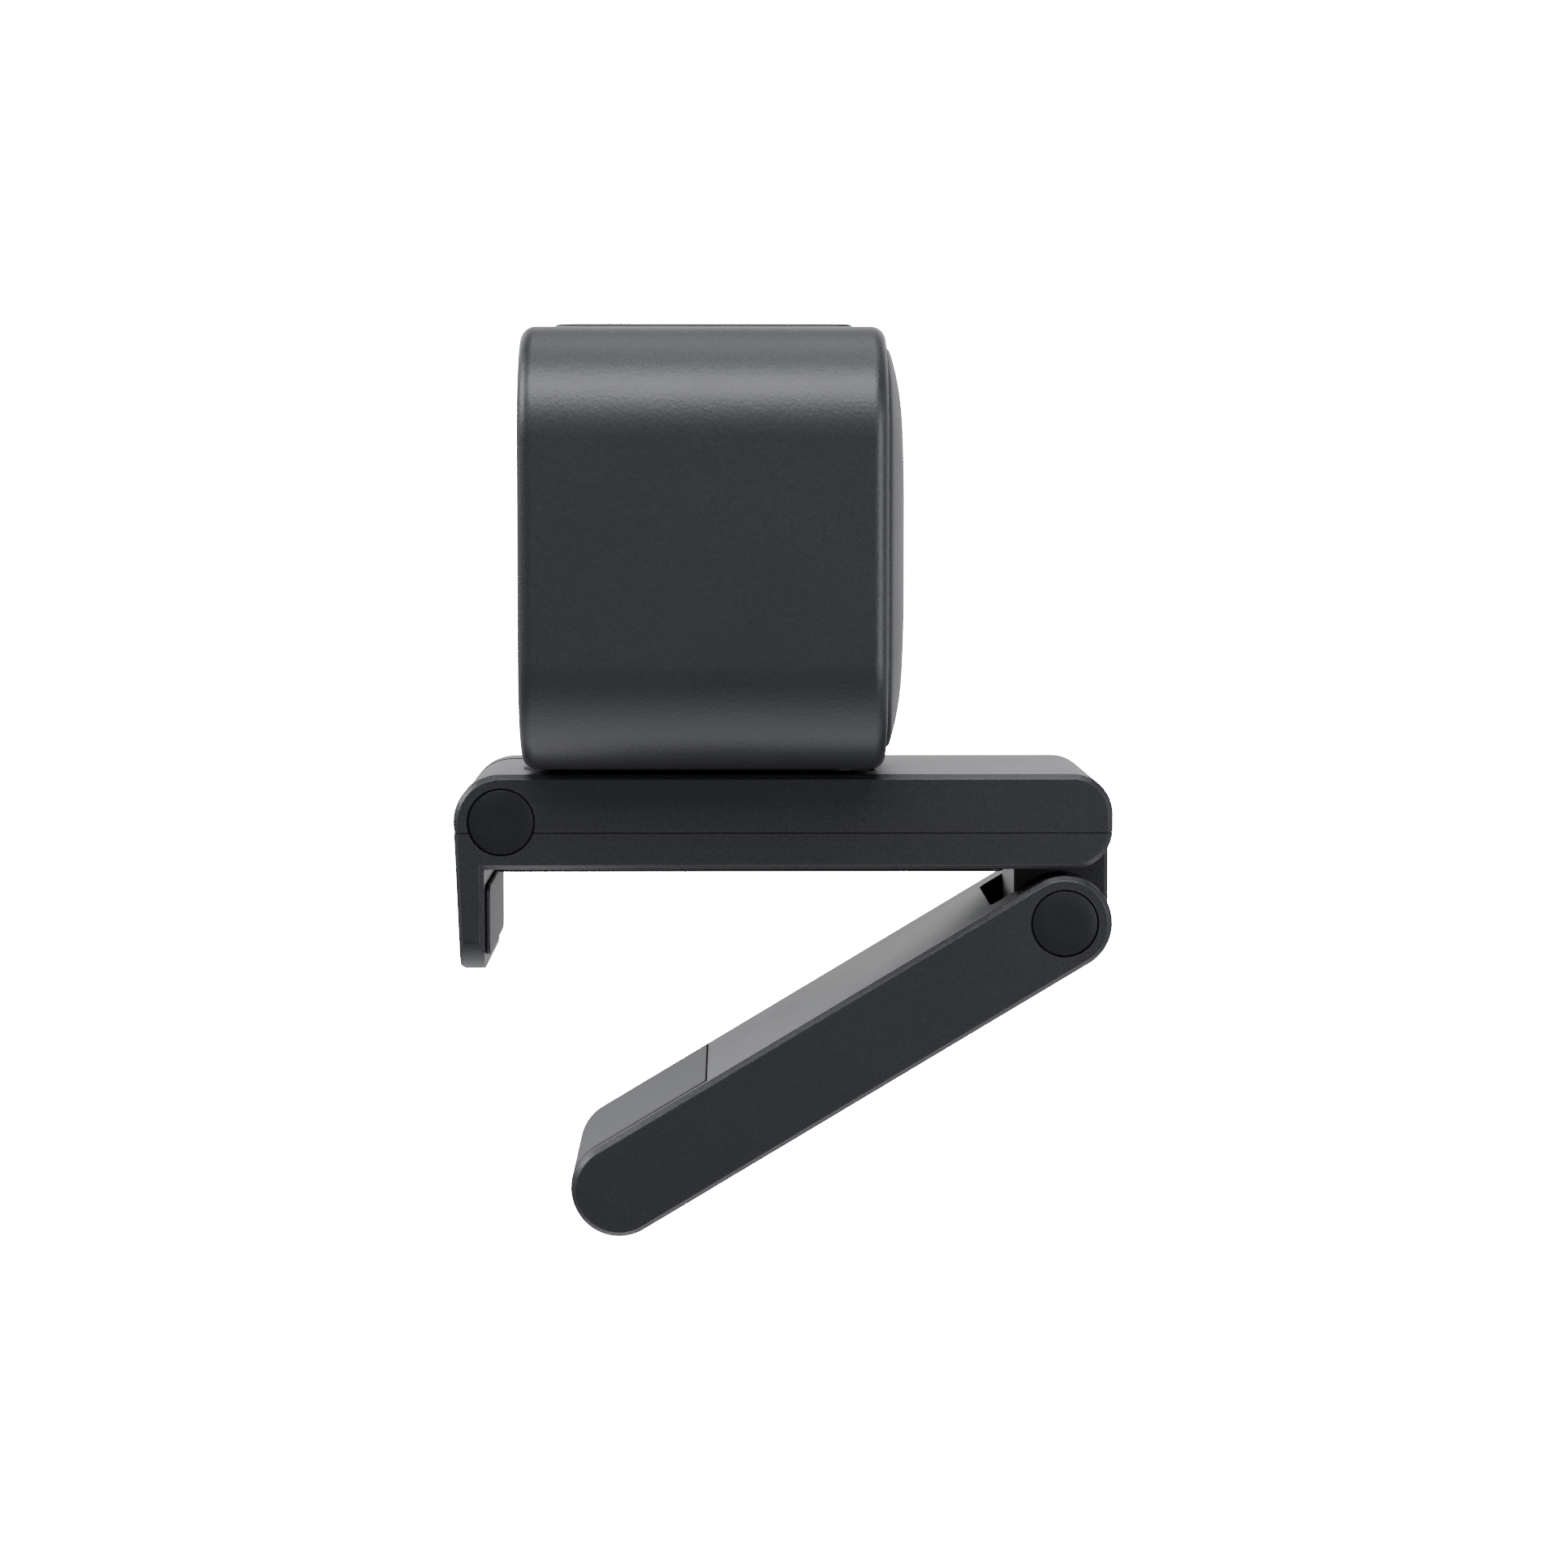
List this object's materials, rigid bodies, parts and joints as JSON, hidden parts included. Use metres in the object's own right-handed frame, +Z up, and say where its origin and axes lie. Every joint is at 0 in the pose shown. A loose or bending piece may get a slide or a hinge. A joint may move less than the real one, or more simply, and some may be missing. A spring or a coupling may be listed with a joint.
{
  "type": "webcam on monitor clip",
  "caption": "Compact webcam with rounded-square body on a flat monitor clip with a front lip and a fold-out leg; it tilts and swivels.",
  "frame": {"origin": "middle of the clip arm's rest pad, on the face that lies on the monitor's top edge", "axes": "+Z up, the camera looks along -Y, X is the width"},
  "size_m": [0.05, 0.0653, 0.0908],
  "materials": {
    "shell": "fine moulded grain",
    "cap": "smooth satin",
    "pad": "matt",
    "gloss": "polished",
    "window": "coated",
    "lens": "coated",
    "trim": "anodised",
    "steel": "plain",
    "brass": "machined",
    "chassis": "die-cast",
    "board": "solder resist",
    "chip": "epoxy",
    "gap_filler": "soft",
    "clear": "clear moulded"
  },
  "bodies": {
    "clip_arm": {"arm_upper_shell": "shell", "arm_lower_shell": "shell", "arm_rest_pad": "pad", "lip_pad": "pad", "front_pin": "steel", "front_cap_left": "cap", "front_cap_right": "cap", "arm_screw_1": "steel", "arm_screw_2": "steel", "arm_screw_3": "steel", "arm_screw_4": "steel", "leg_washer_left": "steel", "leg_washer_right": "steel"},
    "tilt_bracket": {"tilt_bracket": "shell", "bracket_washer_left": "steel", "bracket_washer_right": "steel", "pan_stud": "steel", "pan_spring_washer": "steel", "pan_nut": "steel"},
    "camera_head": {"head_housing": "shell", "top_plate": "shell", "rear_cover": "shell", "lens_barrel": "cap", "lens_holder": "cap", "front_bezel": "gloss", "lens_window": "window", "lens_front_element": "lens", "lens_rear_element": "lens", "lens_trim_ring": "trim", "board_screw_1": "steel", "board_screw_2": "steel", "chassis_screw_1": "steel", "chassis_screw_2": "steel", "chassis_screw_3": "steel", "chassis_screw_4": "steel", "usb_receptacle": "steel", "microphone_left": "steel", "microphone_right": "steel", "chassis_frame": "chassis", "main_board": "board", "sensor_board": "board", "front_board": "board", "processor": "chip", "image_sensor": "chip", "heat_pad": "gap_filler", "light_pipe": "clear", "status_led": "clear"},
    "leg": {"leg_frame": "shell", "leg_sleeve": "pad", "leg_pin": "steel", "leg_cap_left": "cap", "leg_cap_right": "cap", "tripod_insert": "brass"}
  },
  "joints": [
    {"name": "camera_tilt", "type": "hinge", "parent": "clip_arm", "child": "tilt_bracket", "pos_m": [0, -0.02468, 0.00515], "axis": [1, 0, 0], "range_deg": [0, 25]},
    {"name": "camera_pan", "type": "hinge", "parent": "tilt_bracket", "child": "camera_head", "pos_m": [0, -0.0046, 0.01038], "axis": [0, 0, 1], "range_deg": [-90, 90]},
    {"name": "leg_fold", "type": "hinge", "parent": "clip_arm", "child": "leg", "pos_m": [0, 0.03121, -0.00497], "axis": [1, 0, 0], "range_deg": [-31, 110]}
  ]
}
